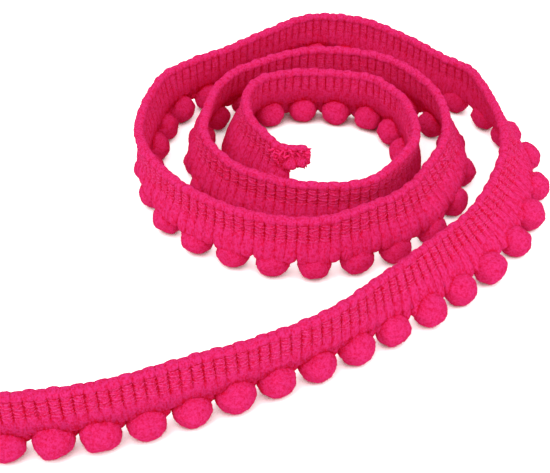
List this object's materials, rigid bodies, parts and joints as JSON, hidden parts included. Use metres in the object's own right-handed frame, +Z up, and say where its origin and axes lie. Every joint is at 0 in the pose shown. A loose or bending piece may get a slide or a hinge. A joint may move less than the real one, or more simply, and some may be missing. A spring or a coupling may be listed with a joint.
{
  "type": "pompom fringe trim",
  "caption": "Hot-pink pompom fringe trim: a ribbed braid with small fluffy pompoms along its lower edge, standing on edge in a loose coil with a free tail",
  "frame": {"origin": "middle of the trim's bounding box, at the floor that the pompoms stand on", "axes": "+Z up; +Y runs from the free tail, at the front, to the back of the coil"},
  "size_m": [0.0874, 0.0914, 0.0105],
  "materials": {
    "braid_cloth": "matt crocheted braid of soft yarn",
    "pompom_yarn": "matt fluffy clipped yarn"
  },
  "bodies": {
    "root": {"braid": "braid_cloth", "pompoms_01": "pompom_yarn", "pompoms_02": "pompom_yarn", "pompoms_03": "pompom_yarn", "pompoms_04": "pompom_yarn", "pompoms_05": "pompom_yarn", "pompoms_06": "pompom_yarn", "pompoms_07": "pompom_yarn", "pompoms_08": "pompom_yarn", "pompoms_09": "pompom_yarn", "pompoms_10": "pompom_yarn", "pompoms_11": "pompom_yarn", "pompoms_12": "pompom_yarn", "pompoms_13": "pompom_yarn", "pompoms_14": "pompom_yarn", "pompoms_15": "pompom_yarn", "pompoms_16": "pompom_yarn", "pompoms_17": "pompom_yarn", "pompoms_18": "pompom_yarn", "pompoms_19": "pompom_yarn", "pompoms_20": "pompom_yarn", "pompoms_21": "pompom_yarn"}
  },
  "joints": []
}
